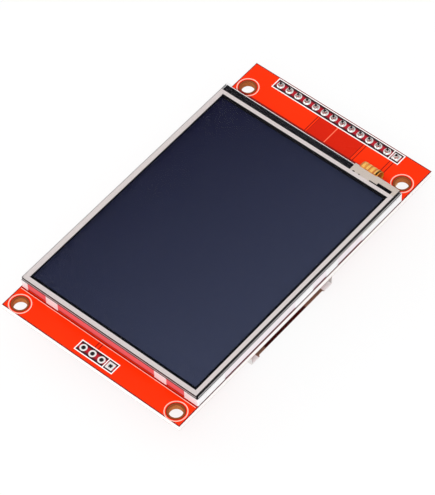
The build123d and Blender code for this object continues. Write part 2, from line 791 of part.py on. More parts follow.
with BuildPart() as backlight_transistor:
    moulded_body(*transistor_at, sot_l, sot_w, sot_h)
backlight_transistor.part.label = "backlight_transistor"
export_step(backlight_transistor.part, "parts/backlight_transistor.step")

with BuildPart() as transistor_leads:
    x, y = transistor_at
    gull_wing(x, y, 1, sot_w, sot_span, sot_h, sot_lead_w)
    for side in (-1, 1):
        gull_wing(x + side * sot_pitch, y, -1, sot_w, sot_span, sot_h, sot_lead_w)
transistor_leads.part.label = "transistor_leads"
export_step(transistor_leads.part, "parts/transistor_leads.step")

# Chip capacitors and resistors
resistor_places = side_resistors + end_resistors + led_resistors

with BuildPart() as capacitors:
    for x, y in cap_places:
        chip_part(x, y, cap_h)
capacitors.part.label = "capacitors"
export_step(capacitors.part, "parts/capacitors.step")

with BuildPart() as capacitor_ends:
    for x, y in cap_places:
        end_caps(x, y, cap_h)
capacitor_ends.part.label = "capacitor_ends"
export_step(capacitor_ends.part, "parts/capacitor_ends.step")

with BuildPart() as resistors:
    for x, y in resistor_places:
        chip_part(x, y, resistor_h)
resistors.part.label = "resistors"
export_step(resistors.part, "parts/resistors.step")

with BuildPart() as resistor_ends:
    for x, y in resistor_places:
        end_caps(x, y, resistor_h)
resistor_ends.part.label = "resistor_ends"
export_step(resistor_ends.part, "parts/resistor_ends.step")
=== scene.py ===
"""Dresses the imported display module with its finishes, solder, printed ink and a plain stage."""

import json
import math

import bmesh
import bpy
from mathutils import Matrix, Vector


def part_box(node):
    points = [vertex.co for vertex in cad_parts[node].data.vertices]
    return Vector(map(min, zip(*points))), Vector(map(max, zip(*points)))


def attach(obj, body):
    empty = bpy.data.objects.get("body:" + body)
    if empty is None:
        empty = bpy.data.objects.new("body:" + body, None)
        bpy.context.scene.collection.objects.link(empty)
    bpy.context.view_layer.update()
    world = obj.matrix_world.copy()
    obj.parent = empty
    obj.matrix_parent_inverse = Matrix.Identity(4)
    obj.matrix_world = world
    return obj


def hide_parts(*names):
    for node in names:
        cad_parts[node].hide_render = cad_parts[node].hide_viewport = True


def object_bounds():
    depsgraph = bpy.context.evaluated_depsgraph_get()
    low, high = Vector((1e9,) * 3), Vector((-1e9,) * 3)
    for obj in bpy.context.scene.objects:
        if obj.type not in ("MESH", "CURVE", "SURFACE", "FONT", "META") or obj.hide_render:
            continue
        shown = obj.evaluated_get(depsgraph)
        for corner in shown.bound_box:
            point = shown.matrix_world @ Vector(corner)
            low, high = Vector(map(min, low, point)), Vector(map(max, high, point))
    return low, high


bl_info = {
    "name": "Display Module",
    "version": (1, 0, 0),
    "blender": (4, 5, 0),
    "location": "3D View > Sidebar > Display",
    "description": "Finishes for a colour display on a circuit board, made piece by piece",
    "category": "Object",
}

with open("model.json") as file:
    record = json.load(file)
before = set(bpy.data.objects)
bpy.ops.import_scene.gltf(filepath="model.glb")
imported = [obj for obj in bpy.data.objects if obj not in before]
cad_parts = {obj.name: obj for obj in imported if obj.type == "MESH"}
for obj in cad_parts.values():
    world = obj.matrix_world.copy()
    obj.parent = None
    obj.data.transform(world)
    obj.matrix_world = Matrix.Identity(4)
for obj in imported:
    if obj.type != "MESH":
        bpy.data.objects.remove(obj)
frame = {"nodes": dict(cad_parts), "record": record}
NODES = frame["nodes"]
CAD_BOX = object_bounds()
BODY = "root"
MM = 0.001

# Places that the frame gives, in metres
BOARD_LOW, BOARD_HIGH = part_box("pcb")
FACE = BOARD_HIGH.z
PANEL_LOW, PANEL_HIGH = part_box("panel_frame")
FLEX_LOW, FLEX_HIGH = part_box("touch_flex")
FILM_LOW, FILM_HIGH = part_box("touch_film")
BORDER_LOW, BORDER_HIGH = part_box("touch_border")
PINS_LOW, PINS_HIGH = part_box("header_pins")
CARD_ROW_LOW, CARD_ROW_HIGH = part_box("card_row_pads")
SOLDER_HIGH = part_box("header_solder")[1]
HOLES = next(m for m in frame["record"]["mounts"] if m["name"] == "mounting_holes")["dims"]
HOLE_X = HOLES["spacing_x_mm"] * MM / 2
HOLE_Y = HOLES["spacing_y_mm"] * MM / 2
HOLE_R = HOLES["hole_r_mm"] * MM
HEADER_Y = (PINS_LOW.y + PINS_HIGH.y) / 2
CARD_ROW_Y = (CARD_ROW_LOW.y + CARD_ROW_HIGH.y) / 2
LAND_TOP = CARD_ROW_HIGH.z
LAND_R = (CARD_ROW_HIGH.y - CARD_ROW_LOW.y) / 2
PITCH = 2.54 * MM
HEADER_X = [(i - 6.5) * PITCH for i in range(14)]
CARD_ROW_X = [(i - 1.5) * PITCH for i in range(4)]

# What the finishes share, with lengths in metres
PLATING = 0.05 * MM  # a plated hole's wall
SKIN = 0.02 * MM  # what is laid on an upright side
BOARD_RIM_SHADE = 0.2 * MM  # the rim along the board's sides, where painted shade darkens the lacquer
CUT_LINE = 0.1 * MM  # the lines along a cut side's edges: painted shade at the upper edge, grey at the lower
RECESS_DEPTH = 0.12 * MM  # of the recesses round the panel's frame
TAB_DEPTH = 2.2 * MM  # from the touch panel's header end to the silver bar
BAR_WIDTH = 1.1 * MM
COPPER_BAND = 3.2 * MM  # of copper below the polyimide, with a gap as wide beside it
SCREEN_FADE = 34 * MM  # half the way over which a painted reflection makes the screen paler
SCREEN_LEAN = -0.35  # how far that way runs along Y for each step along X
GOLD_SHADE = "#D59E42"  # the deeper patches in a flash of gold

# Places that only the finishes need, in millimetres
PICTURE_X = (-23.6, 22.3)
PICTURE_Y = (-32.26, 31.2)
BAR_HALF = 23.4
COPPER_WINDOWS = ((-3.66, 1.1), (1.4, 8.5))
# painted shade and a painted highlight along the copper's edges
SHADED_COPPER_EDGES = ((-4.36, -4.14), (-3.78, -3.66), (8.5, 8.68), (9.24, 9.44), (15.94, 16.14), (16.84, 17.04))
HIGHLIGHTED_COPPER_EDGES = ((1.16, 1.36),)
SHADE_INSETS = (1.0, 6.0)  # from the board's long sides to the strip in the panel's shade
CARD_ROW_TRACES = (-1.96, -1.06)
END_LINE = (0.34, 0.48)  # from the panel's lower end to the printed line along it
COVER_TOP = -2.0  # below this lies the inner face of the socket's cover
# spans of the painted reflection on the cover's inner face
COVER_MIDDLE = (-12.0, 1.6)
COVER_NOTCH = (-14.8, 7.4)

# The photograph's view of the module
SENSOR_MM = 36.0
LENS_MM = 252.15
CAMERA_AT = Vector((0.266152, -0.290543, 0.533782))
CAMERA_FORWARD = Vector((-0.40016, 0.43872, -0.80461))
CAMERA_UP = Vector((-0.50270, 0.62902, 0.59298))


def linear(code):
    """Turns an sRGB hex colour into Blender's linear one."""
    channels = [int(code[i:i + 2], 16) / 255 for i in (1, 3, 5)]
    return tuple(c / 12.92 if c <= 0.04045 else ((c + 0.055) / 1.055) ** 2.4 for c in channels) + (1.0,)


def fill(tree, node, inputs):
    """Sets a node's inputs, or links them to a socket or to another node's first output in use."""
    for key, value in inputs.items():
        if isinstance(value, bpy.types.Node):
            value = next(socket for socket in value.outputs if socket.enabled)
        if isinstance(value, bpy.types.NodeSocket):
            tree.links.new(value, node.inputs[key])
        else:
            node.inputs[key].default_value = value


def add(tree, kind, inputs=None, **settings):
    """Adds a node, gives it its settings and fills its inputs."""
    node = tree.nodes.new(kind)
    for name, value in settings.items():
        setattr(node, name, value)
    fill(tree, node, inputs or {})
    return node


def position(tree):
    """Where a point lies, as X, Y and Z in the module's own frame."""
    place = add(tree, "ShaderNodeTexCoord")
    return add(tree, "ShaderNodeSeparateXYZ", {"Vector": place.outputs["Object"]}).outputs


def facing(tree):
    """Which way the surface faces, as X, Y and Z."""
    geometry = add(tree, "ShaderNodeNewGeometry")
    return add(tree, "ShaderNodeSeparateXYZ", {"Vector": geometry.outputs["Normal"]}).outputs


def colour_property(name, code, description):
    """A colour that a user may change, given as the sRGB hex value of the real one."""
    return bpy.props.FloatVectorProperty(
        name=name, description=description, subtype="COLOR", size=4, min=0, max=1, default=linear(code))


def length_property(name, millimetres, description):
    """A length that a user may change."""
    return bpy.props.FloatProperty(
        name=name, description=description, subtype="DISTANCE", unit="LENGTH", min=0, precision=5,
        default=millimetres * MM)


class ModuleSizes(bpy.types.PropertyGroup):
    """Sizes of what is printed, soldered and laid on the module."""

    ink_line: length_property("Ink Line", 0.26, "Width of a printed line")
    ink_height: length_property("Ink Height", 0.02, "Height of the printed ink above the solder mask")
    ring_radius: length_property("Ring Radius", 2.5, "Middle of the printed ring round a mounting hole")
    bare_radius: length_property("Bare Radius", 2.0, "Edge of the bare laminate round a mounting hole")
    mask_step: length_property("Mask Step", 0.012, "Height of the thin areas drawn on the solder mask")
    step_width: length_property("Step Width", 0.12, "Width of the lacquer's step round the bare laminate")
    # painted shade on the board beyond the panel's upper end, and a painted shadow along its lower end
    hidden_strip: length_property("Hidden Strip", 2.0, "Board beyond the panel that lies in its shade")
    painted_panel_shadow: length_property("Panel Shade", 0.3, "Darker lacquer along the panel's lower end")
    row_trace: length_property("Row Trace", 0.24, "Width of a trace between the panel and the card row")
    header_frame: length_property("Header Frame", 3.06, "Width of the printed frame round the header")
    row_frame: length_property("Row Frame", 3.0, "Width of the printed frame round the card row")
    chip_line: length_property("Chip Line", 0.15, "Width of a printed line round a chip")
    bore_radius: length_property("Bore Radius", 0.5, "Inside of a plated hole")
    solder_margin: length_property("Solder Margin", 0.06, "Bare tin round a solder joint's foot")
    solder_waist: length_property("Solder Waist", 0.42, "Radius of a solder joint at its top")
    # painted shadow in the gap under the frame's long side
    gap_shadow_height: length_property("Bead Height", 0.12, "Height of the adhesive up the frame's long side")
    # dark bands on the glass's sides: painted shade, with the black tape below and the film's edge above
    dark_band: length_property("Dark Band", 0.24, "Height of the dark band at the touch glass's foot")
    dark_ledge: length_property("Dark Ledge", 0.14, "Height of the dark band below the glass's top")
    trace_width: length_property("Trace Width", 0.62, "Width of a conductor on the touch panel's tail")
    trace_height: length_property("Trace Height", 0.05, "Height of such a conductor")
    # a painted strip of shade along the touch panel's tail
    tail_shade_width: length_property("Slit Width", 0.42, "Width of the slit in that tail")
    tail_shade_side: length_property("Slit Side", 0.45, "From the tail's side to the slit's middle")


class ModuleColours(bpy.types.PropertyGroup):
    """Colours of the module's finishes."""

    mask: colour_property("Solder Mask", "#FA3204", "Red lacquer over copper")
    mask_dark: colour_property("Mask on Laminate", "#D62208", "Red lacquer where no copper lies below")
    moat: colour_property("Moat", "#AE0B20", "Lacquer between a row's lands")
    laminate: colour_property("Laminate", "#FFFCFA", "Cut edge of the glass-fibre board")
    bare: colour_property("Bare Laminate", "#9C5226", "Laminate without lacquer round a mounting hole")
    ink: colour_property("Ink", "#FCF6F4", "White printed ink")
    ink_thin: colour_property("Thin Ink", "#FFC2B2", "Ink printed so thin that the red shows through")
    screen: colour_property("Screen", "#161731",
                            "Polariser over the switched-off cell, away from the socket")
    # a painted reflection makes the screen paler towards the socket
    screen_painted_reflection: colour_property("Screen, Light", "#3A4058", "The same beside the socket")
    border: colour_property("Border", "#DAD0CF", "Silver ink round the touch panel")
    film_brown: colour_property("Polyimide", "#D98A26", "Amber film of the flexible circuits")
    gold: colour_property("Gold", "#E8B45A", "Plating on contacts and pins")


def shader_of(material):
    """A material's tree and its shader."""
    tree = material.node_tree
    return tree, tree.nodes["Principled BSDF"]


def new_material(name):
    """A material with its tree and its shader."""
    made = bpy.data.materials.new(name)
    made.use_nodes = True
    return made, *shader_of(made)


def grain(tree, size_mm, stretch=(1, 1, 1)):
    """Uneven patches of a real size, in the module's own coordinates."""
    place = add(tree, "ShaderNodeTexCoord")
    turned = add(tree, "ShaderNodeMapping", {"Vector": place.outputs["Object"], "Scale": stretch})
    noise = add(tree, "ShaderNodeTexNoise", {"Vector": turned, "Scale": 1 / (size_mm * MM), "Detail": 3.0})
    return noise.outputs["Fac"]


def surface(name, colour, second, size_mm, rough=0.4, spread=0.08, metal=0.0, shine=0.5, height_mm=0.0,
            stretch=(1, 1, 1), clear=1.0):
    """A finish of two close colours in patches, with uneven gloss and a fine relief."""
    made, tree, shader = new_material(name)
    patches = grain(tree, size_mm, stretch)
    fill(tree, shader, {
        "Base Color": add(tree, "ShaderNodeMix", {"Factor": patches, "A": colour, "B": second},
                          data_type="RGBA"),
        "Roughness": add(tree, "ShaderNodeMapRange", {
            "Value": patches, "From Min": 0.3, "From Max": 0.7, "To Min": rough - spread,
            "To Max": rough + spread}),
        "Metallic": metal, "Specular IOR Level": shine, "Alpha": clear})
    if height_mm:
        fill(tree, shader, {
            "Normal": add(tree, "ShaderNodeBump", {"Height": patches, "Distance": height_mm * MM})})
    return made


def clothe(material, *names):
    """Gives CAD nodes one material."""
    for name in names:
        slots = NODES[name].data.materials
        slots.clear()
        slots.append(material)


def piece(name, bm, material, smooth=0.0):
    """Turns finished mesh work into a piece that rides on the module."""
    bmesh.ops.remove_doubles(bm, verts=bm.verts, dist=0.0002 * MM)
    bmesh.ops.recalc_face_normals(bm, faces=bm.faces)
    mesh = bpy.data.meshes.new(name)
    bm.to_mesh(mesh)
    bm.free()
    if smooth:
        mesh.shade_smooth()
        mesh.set_sharp_from_angle(angle=math.radians(smooth))
    mesh.materials.append(material)
    made = bpy.data.objects.new(name, mesh)
    bpy.context.scene.collection.objects.link(made)
    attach(made, BODY)
    return made


def slab(bm, x0, y0, x1, y1, z0, z1):
    """A flat block between two corners."""
    verts = bmesh.ops.create_cube(bm, size=1.0)["verts"]
    bmesh.ops.scale(bm, vec=(x1 - x0, y1 - y0, z1 - z0), verts=verts)
    bmesh.ops.translate(bm, vec=((x0 + x1) / 2, (y0 + y1) / 2, (z0 + z1) / 2), verts=verts)


def border(bm, x0, y0, x1, y1, line, z0, z1):
    """A printed frame: its outer corners and its line's width."""
    slab(bm, x0, y0, x1, y0 + line, z0, z1)
    slab(bm, x0, y1 - line, x1, y1, z0, z1)
    slab(bm, x0, y0 + line, x0 + line, y1 - line, z0, z1)
    slab(bm, x1 - line, y0 + line, x1, y1 - line, z0, z1)


def moats(bm, row_x, row_y, half, bore, z0, z1):
    """The sunk strip round a row of lands, left open over the holes' bores."""
    room = bore + PLATING
    left, right = row_x[0] - PITCH / 2, row_x[-1] + PITCH / 2
    slab(bm, left, row_y - half, right, row_y - room, z0, z1)
    slab(bm, left, row_y + room, right, row_y + half, z0, z1)
    sides = [left] + [x + side * room for x in row_x for side in (-1, 1)] + [right]
    for x0, x1 in zip(sides[::2], sides[1::2]):
        slab(bm, x0, row_y - room, x1, row_y + room, z0, z1)


def turn(bm, section, x, y, steps=40):
    """Turns a closed section, given as radius and height, about an upright axis."""
    verts = [bm.verts.new((x + radius, y, height)) for radius, height in section]
    edges = [bm.edges.new(pair) for pair in zip(verts, verts[1:] + verts[:1])]
    bmesh.ops.spin(bm, geom=verts + edges, cent=(x, y, 0), axis=(0, 0, 1), angle=2 * math.pi,
                   steps=steps, use_merge=True)


def plated_hole(bm, x, y, bore, square):
    """A plated hole: its barrel, and a land on each face that is round or square outside."""
    low = 2 * BOARD_LOW.z - (LAND_TOP - FACE)
    wall = bore + PLATING
    if square:
        turn(bm, [(bore, low), (wall, low), (wall, LAND_TOP), (bore, LAND_TOP)], x, y)
        reach = wall * math.cos(math.pi / 4)
        for z0, z1 in ((low, BOARD_LOW.z), (FACE, LAND_TOP)):
            for side in (-1, 1):
                near, far = sorted((side * reach, side * LAND_R))
                slab(bm, x - LAND_R, y + near, x + LAND_R, y + far, z0, z1)
                slab(bm, x + near, y - reach, x + far, y + reach, z0, z1)
        return
    ease = 0.25 * (LAND_TOP - FACE)
    turn(bm, [
        (bore, low), (LAND_R - ease, low), (LAND_R, low + ease), (LAND_R, BOARD_LOW.z),
        (wall, BOARD_LOW.z), (wall, FACE),
        (LAND_R, FACE), (LAND_R, LAND_TOP - ease), (LAND_R - ease, LAND_TOP), (bore, LAND_TOP),
    ], x, y)


# FR4 board under red lacquer: the lacquer is glossy and evens out the copper's edges, its cut
# sides show pale glass fibre, and the holes' walls show it in amber
def lacquered_board(colours):
    made, tree, shader = new_material("solder_mask_on_glass_fibre")
    at = position(tree)
    steep = add(tree, "ShaderNodeMath", {0: facing(tree)["Z"]}, operation="ABSOLUTE")
    side = add(tree, "ShaderNodeMath", {0: steep, 1: 0.5}, operation="LESS_THAN")
    inside = []
    for axis, low, high, rim in (("X", BOARD_LOW.x, BOARD_HIGH.x, BOARD_RIM_SHADE),
                                 ("Y", BOARD_LOW.y, BOARD_HIGH.y, BOARD_RIM_SHADE),
                                 ("Z", BOARD_LOW.z, FACE, CUT_LINE)):
        inside.append(add(tree, "ShaderNodeMath", {
            0: at[axis], 1: (low + high) / 2, 2: (high - low) / 2 - rim}, operation="COMPARE"))
    in_hole = add(tree, "ShaderNodeMath", {0: inside[0], 1: inside[1]}, operation="MULTIPLY")
    fibres = grain(tree, 0.35, stretch=(0.3, 0.3, 1.6))
    open_mask = add(tree, "ShaderNodeMix", {
        "Factor": grain(tree, 9.0), "A": colours.mask, "B": linear("#F42E04")}, data_type="RGBA")
    # Painted shade darkens the lacquer along the board's rim
    mask = add(tree, "ShaderNodeMix", {
        "Factor": in_hole, "A": linear("#7A161C"), "B": open_mask}, data_type="RGBA")
    cut = add(tree, "ShaderNodeMix", {
        "Factor": fibres, "A": colours.laminate, "B": linear("#FDF8F6")}, data_type="RGBA")
    amber = add(tree, "ShaderNodeMix", {
        "Factor": fibres, "A": linear("#96502A"), "B": linear("#E29150")}, data_type="RGBA")
    wall = add(tree, "ShaderNodeMix", {"Factor": in_hole, "A": cut, "B": amber}, data_type="RGBA")
    # Along each cut side's edges: painted shade at the upper one, a grey line at the lower one
    upper = add(tree, "ShaderNodeMath", {0: at["Z"], 1: (BOARD_LOW.z + FACE) / 2},
                operation="GREATER_THAN")
    line = add(tree, "ShaderNodeMix", {
        "Factor": upper, "A": linear("#C4BCB6"), "B": linear("#6E1416")}, data_type="RGBA")
    lined = add(tree, "ShaderNodeMix", {"Factor": inside[2], "A": line, "B": wall}, data_type="RGBA")
    fill(tree, shader, {
        "Base Color": add(tree, "ShaderNodeMix", {"Factor": side, "A": mask, "B": lined},
                          data_type="RGBA"),
        "Roughness": add(tree, "ShaderNodeMix", {"Factor": side, "A": 0.3, "B": 0.75}),
        "Normal": add(tree, "ShaderNodeBump", {"Height": grain(tree, 0.6), "Distance": 0.004 * MM}),
        "Specular IOR Level": 0.06})
    return made


# The same lacquer straight on the laminate: deeper, because no copper shines through
def lacquered_laminate(colours):
    return surface("solder_mask_on_laminate", colours.mask_dark, linear("#CE1F08"), 6.0, rough=0.3,
                   shine=0.06, height_mm=0.003)


# Lacquer in the moats between a row's lands: crimson, with painted shade that turns it nearly
# black at the row's long sides, where the copper's edges throw the light away
def lacquered_moat(colours, name, row_y):
    made, tree, shader = new_material(name)
    along = add(tree, "ShaderNodeMath", {0: position(tree)["Y"], 1: row_y}, operation="SUBTRACT")
    off = add(tree, "ShaderNodeMath", {0: along}, operation="ABSOLUTE")
    ramp = add(tree, "ShaderNodeMapRange", {"Value": off, "From Min": LAND_R, "From Max": LAND_R * 0.45})
    fill(tree, shader, {
        "Base Color": add(tree, "ShaderNodeMix", {
            "Factor": ramp, "A": linear("#2A0410"), "B": colours.moat}, data_type="RGBA"),
        "Roughness": 0.35, "Specular IOR Level": 0.2})
    return made


# Two-part ink, screen printed: thick, matt and a little uneven at its surface
def printed_ink(name, colour):
    second = [0.94 * share for share in colour[:3]] + [1.0]
    return surface(name, colour, second, 0.5, rough=0.55, shine=0.3, height_mm=0.004)


# Tin levelled with hot air: bright and softly rippled, with painted shade on its upright faces, as inside
# the bores
def levelled_tin():
    made = surface("hot_air_levelled_tin_painted_upright_shade", linear("#F6F5F3"), linear("#E6E4E2"), 0.8, rough=0.34,
                   metal=1.0, height_mm=0.03)
    tree, shader = shader_of(made)
    # Painted shade on the upright faces
    level = add(tree, "ShaderNodeMath", {0: facing(tree)["Z"]}, operation="ABSOLUTE")
    wall = add(tree, "ShaderNodeMath", {0: level, 1: 0.3}, operation="LESS_THAN")
    plain = shader.inputs["Base Color"].links[0].from_socket
    fill(tree, shader, {
        "Base Color": add(tree, "ShaderNodeMix", {
            "Factor": wall, "A": plain, "B": linear("#1C1C20")}, data_type="RGBA")})
    return made


# Solder that has flowed and set: a mirror with slow waves
def flowed_solder():
    return surface("flowed_solder", linear("#F4F3F1"), linear("#CFCDCB"), 0.45, rough=0.26, metal=1.0,
                   height_mm=0.03)


# Brass or bronze with a flash of gold: warm and even
def gold_flash(colours):
    return surface("gold_flash_on_brass", colours.gold, linear(GOLD_SHADE), 1.5, rough=0.28, metal=1.0,
                   height_mm=0.004)


# Header pins: gold below the board, and painted dark above it, as painted shade in the middle of each
# joint
def gold_pin_painted_dark_above(colours):
    made, tree, shader = new_material("gold_flash_painted_dark_above_board")
    above = add(tree, "ShaderNodeMath", {0: position(tree)["Z"], 1: FACE}, operation="GREATER_THAN")
    gold = add(tree, "ShaderNodeMix", {
        "Factor": grain(tree, 1.5), "A": colours.gold, "B": linear(GOLD_SHADE)}, data_type="RGBA")
    fill(tree, shader, {
        "Base Color": add(tree, "ShaderNodeMix", {
            "Factor": above, "A": gold, "B": linear("#2E2E32")}, data_type="RGBA"),
        "Metallic": 1.0, "Roughness": 0.25})
    return made


# Glass-filled nylon out of a spark-eroded mould: black with a fine matt grain
def moulded_nylon(name, shade="#141416"):
    return surface(name, linear(shade), linear("#1F1F22"), 0.12, rough=0.55, shine=0.35, height_mm=0.01)


# White polycarbonate, moulded glossy. Its shallow recesses have painted light, the board's red at the
# lower end and a trace of lavender at the long sides, with painted shade along their foot
def white_frame():
    made, tree, shader = new_material("moulded_white_polycarbonate")
    at = position(tree)
    normal = facing(tree)
    tint = add(tree, "ShaderNodeMix", {
        "Factor": grain(tree, 4.0), "A": linear("#FBFAFB"), "B": linear("#F4F3F6")}, data_type="RGBA")
    # Painted light in each recess, and painted shade along its foot
    for axis, reach, foot_mm, shade, shadow in (("Y", -PANEL_LOW.y, 0.32, "#EA6A72", "#962C20"),
                                                ("X", PANEL_HIGH.x, 0.1, "#F4EAF0", "#5C5058")):
        foot = add(tree, "ShaderNodeMath", {0: at["Z"], 1: PANEL_LOW.z + foot_mm * MM},
                   operation="LESS_THAN")
        painted_recess_light = add(tree, "ShaderNodeMix", {
            "Factor": foot, "A": linear(shade), "B": linear(shadow)}, data_type="RGBA")
        off = add(tree, "ShaderNodeMath", {0: at[axis]}, operation="ABSOLUTE")
        sunk = add(tree, "ShaderNodeMath", {0: off, 1: reach - RECESS_DEPTH, 2: RECESS_DEPTH / 2},
                   operation="COMPARE")
        level = add(tree, "ShaderNodeMath", {0: normal[axis]}, operation="ABSOLUTE")
        upright = add(tree, "ShaderNodeMath", {0: level, 1: 0.9}, operation="GREATER_THAN")
        recess = add(tree, "ShaderNodeMath", {0: sunk, 1: upright}, operation="MULTIPLY")
        tint = add(tree, "ShaderNodeMix", {"Factor": recess, "A": tint, "B": painted_recess_light},
                   data_type="RGBA")
    fill(tree, shader, {"Base Color": tint, "Roughness": 0.32, "Specular IOR Level": 0.4})
    return made


# Polyimide film: clear amber over copper, which shows as a warm glow in bands
def polyimide(colours):
    made, tree, shader = new_material("polyimide_over_copper")
    place = add(tree, "ShaderNodeTexCoord")
    bands = add(tree, "ShaderNodeTexWave", {
        "Vector": place.outputs["Object"], "Scale": 1 / COPPER_BAND / 2, "Distortion": 0.0},
        wave_type="BANDS", bands_direction="X")
    ramp = add(tree, "ShaderNodeMapRange", {
        "Value": bands.outputs["Fac"], "From Min": 0.35, "From Max": 0.65})
    fill(tree, shader, {
        "Base Color": add(tree, "ShaderNodeMix", {
            "Factor": ramp, "A": colours.film_brown, "B": linear("#B8641A")}, data_type="RGBA"),
        "Roughness": 0.3})
    return made


# Dark polariser over the switched-off cell: navy, with a painted reflection that makes it a little
# paler towards the socket, and black over the cell's masked rim
def polariser(colours):
    made, tree, shader = new_material("linear_polariser")
    at = position(tree)
    lean = add(tree, "ShaderNodeMath", {0: at["Y"], 1: SCREEN_LEAN, 2: at["X"]},
               operation="MULTIPLY_ADD")
    ramp = add(tree, "ShaderNodeMapRange", {
        "Value": lean, "From Min": -SCREEN_FADE, "From Max": SCREEN_FADE})
    navy = add(tree, "ShaderNodeMix", {
        "Factor": ramp, "A": colours.screen, "B": colours.screen_painted_reflection}, data_type="RGBA")
    spans = []
    for axis, (low, high) in (("X", PICTURE_X), ("Y", PICTURE_Y)):
        spans.append(add(tree, "ShaderNodeMath", {
            0: at[axis], 1: (low + high) / 2 * MM, 2: (high - low) / 2 * MM}, operation="COMPARE"))
    picture = add(tree, "ShaderNodeMath", {0: spans[0], 1: spans[1]}, operation="MULTIPLY")
    fill(tree, shader, {
        "Base Color": add(tree, "ShaderNodeMix", {
            "Factor": picture, "A": linear("#05060A"), "B": navy}, data_type="RGBA"),
        "Roughness": 0.12, "Specular IOR Level": 0.03})
    return made


# Glass with a black mask at its rim, as every cell has round its picture
def masked_glass(name):
    return surface(name, linear("#08090C"), linear("#0C0D11"), 5.0, rough=0.1, spread=0.03, shine=0.3)


# Clear polyester or glass in front of the screen: it takes away a trace of light, and its alpha
# is that share
def clear_sheet(name, share):
    return surface(name, linear("#24262E"), linear("#2C2E38"), 8.0, rough=0.06, spread=0.02, shine=0.3,
                   clear=share)


# The ground edge of sheet glass: grey, with a fine matt grain
def ground_glass():
    return surface("ground_glass_edge", linear("#A6A4A0"), linear("#98969A"), 0.3, rough=0.45, shine=0.4,
                   height_mm=0.004)


# Silver ink on polyester: flakes give a soft metal sheen. Dark lines at the outer sides stand for the
# film's edge and painted shade, and a dark line along the bar is painted shade at the step down to the
# screen
def silver_ink(colours):
    made, tree, shader = new_material("silver_ink")
    at = position(tree)
    on_tab = add(tree, "ShaderNodeMath", {0: at["Y"], 1: FILM_HIGH.y - TAB_DEPTH},
                 operation="GREATER_THAN")
    flakes = grain(tree, 0.3)
    ink = add(tree, "ShaderNodeMix", {
        "Factor": flakes, "A": colours.border, "B": linear("#CFC5C3")}, data_type="RGBA")
    tint = add(tree, "ShaderNodeMix", {"Factor": on_tab, "A": ink, "B": linear("#C8BBB1")},
               data_type="RGBA")
    lines = []
    for axis, middle, half_mm in (("X", BORDER_HIGH.x, 0.24), ("Y", BORDER_LOW.y, 0.12),
                                  ("Y", FILM_HIGH.y - TAB_DEPTH - BAR_WIDTH, 0.15), ("X", 0.0, BAR_HALF)):
        lines.append(add(tree, "ShaderNodeMath", {0: at[axis], 1: middle, 2: half_mm * MM},
                         operation="COMPARE"))
    step = add(tree, "ShaderNodeMath", {0: lines[2], 1: lines[3]}, operation="MULTIPLY")
    outer = add(tree, "ShaderNodeMath", {0: lines[0], 1: lines[1]}, operation="MAXIMUM")
    edge_and_shade_lines = add(tree, "ShaderNodeMath", {0: outer, 1: step}, operation="MAXIMUM")
    fill(tree, shader, {
        "Base Color": add(tree, "ShaderNodeMix", {
            "Factor": edge_and_shade_lines, "A": tint, "B": linear("#0A0A0C")}, data_type="RGBA"),
        "Roughness": add(tree, "ShaderNodeMapRange", {
            "Value": flakes, "From Min": 0.3, "From Max": 0.7, "To Min": 0.34, "To Max": 0.5}),
        "Metallic": 0.25})
    return made


# Black tape and foam: matt, with a faint weave of pores
def black_tape(name):
    return surface(name, linear("#131116"), linear("#17151A"), 0.6, rough=0.5, shine=0.1, height_mm=0.001)


# Rolled stainless sheet: a fine grain along the rolling direction. The cover's inner face is painted,
# not metal: a painted reflection of the red board in the notch's middle, of bare laminate at its ends, and
# of the floor beside the notch
def rolled_steel():
    made = surface("rolled_stainless_sheet", linear("#F2F1EF"), linear("#DAD9D7"), 0.25, rough=0.3,
                   spread=0.1, metal=1.0, height_mm=0.003, stretch=(0.08, 1, 1))
    tree, shader = shader_of(made)
    at = position(tree)
    upward = add(tree, "ShaderNodeMath", {0: facing(tree)["Z"], 1: 0.5}, operation="GREATER_THAN")
    deep = add(tree, "ShaderNodeMath", {0: at["Z"], 1: COVER_TOP * MM}, operation="LESS_THAN")
    inner = add(tree, "ShaderNodeMath", {0: upward, 1: deep}, operation="MULTIPLY")
    middle, notch = [
        add(tree, "ShaderNodeMath", {0: at["Y"], 1: (low + high) / 2 * MM, 2: (high - low) / 2 * MM},
            operation="COMPARE")
        for low, high in (COVER_MIDDLE, COVER_NOTCH)]
    mirrored = add(tree, "ShaderNodeMix", {
        "Factor": middle, "A": linear("#8A6A58"), "B": linear("#360C0A")}, data_type="RGBA")
    shade = add(tree, "ShaderNodeMix", {"Factor": notch, "A": linear("#FFFFFF"), "B": mirrored},
                data_type="RGBA")
    plain = shader.inputs["Base Color"].links[0].from_socket
    fill(tree, shader, {
        "Base Color": add(tree, "ShaderNodeMix", {"Factor": inner, "A": plain, "B": shade},
                          data_type="RGBA"),
        "Metallic": add(tree, "ShaderNodeMapRange", {"Value": inner, "To Min": 1.0, "To Max": 0.0})})
    return made


# Epoxy moulding compound: charcoal with a fine sparkle of filler
def moulded_epoxy(name):
    return surface(name, linear("#1A1A1C"), linear("#2B2B2E"), 0.09, rough=0.5, shine=0.4, height_mm=0.008)


